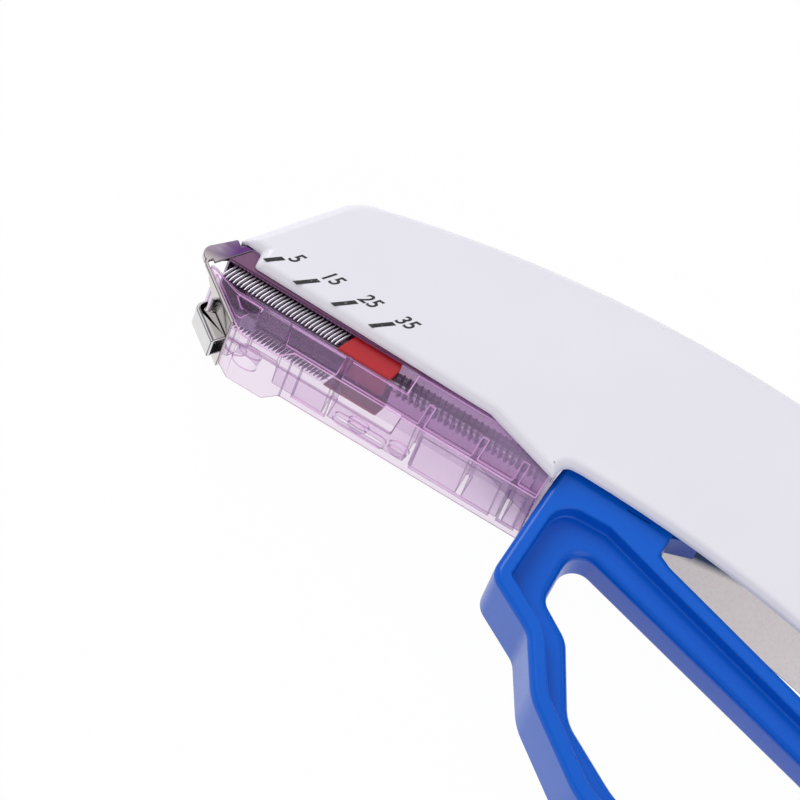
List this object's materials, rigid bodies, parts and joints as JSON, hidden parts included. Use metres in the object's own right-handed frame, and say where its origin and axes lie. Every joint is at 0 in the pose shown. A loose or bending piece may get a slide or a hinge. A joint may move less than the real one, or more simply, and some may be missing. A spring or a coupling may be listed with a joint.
{
  "type": "skin stapler",
  "caption": "Hand-held skin stapler with a curved white body, closed finger-loop trigger, clear staple cartridge and folded steel nose with anvil.",
  "frame": {"origin": "foot of the trigger's hinge axis on the flat side that the stapler rests on", "axes": "+X from the nose to the grip, +Y up when the stapler is held, +Z across it, out of the numbered side"},
  "size_m": [0.1562, 0.0721, 0.0176],
  "materials": {
    "body_white": "satin moulded white",
    "body_white_far": "satin moulded white",
    "trigger_blue": "satin moulded blue",
    "bright_steel": "ground steel",
    "arm_grey": "grey filled plastic",
    "spring_steel": "bright spring steel",
    "nose_steel": "polished stainless sheet",
    "clear_purple": "clear tinted plastic",
    "smoky_purple": "clear tinted plastic, deeper tint",
    "clear_rail": "clear tinted plastic",
    "staple_wire": "bright stainless wire",
    "pusher_red": "moulded red"
  },
  "bodies": {
    "body": {"body_shell_right": "body_white", "body_shell_left": "body_white_far", "trigger_pin": "bright_steel", "nose_bracket": "nose_steel", "anvil": "nose_steel", "cartridge_housing": "clear_purple", "cartridge_cover": "smoky_purple", "staple_rail": "clear_rail", "staples": "staple_wire", "spring_rod": "bright_steel", "cartridge_end_plug": "smoky_purple", "pusher_spring": "spring_steel", "staple_retainer": "spring_steel", "return_spring": "spring_steel"},
    "trigger": {"trigger": "trigger_blue", "drive_arm": "arm_grey", "drive_pin": "bright_steel"},
    "driver": {"driver_blade": "spring_steel", "driver_carrier": "arm_grey"},
    "pusher": {"staple_pusher": "pusher_red"}
  },
  "joints": [
    {"name": "trigger_hinge", "type": "hinge", "parent": "body", "child": "trigger", "pos_m": [0, 0, 0.0088], "axis": [0, 0, 1], "range_deg": [0, 9.3], "stiffness_Nm_per_rad": 0.225, "springref_deg": -11.46, "deforming": ["return_spring"]},
    {"name": "driver_slide", "type": "slide", "parent": "body", "child": "driver", "axis": [-0.6088, -0.7934, 0], "range_m": [0, 0.00983]},
    {"name": "pusher_slide", "type": "slide", "parent": "body", "child": "pusher", "axis": [1, 0, 0], "range_m": [0, 0.014], "stiffness_N_per_m": 40, "springref_m": -0.03, "deforming": ["pusher_spring"]}
  ],
  "couplings": [
    {"joint": "driver_slide", "follows": "trigger_hinge", "m_per_rad": 0.060535}
  ]
}
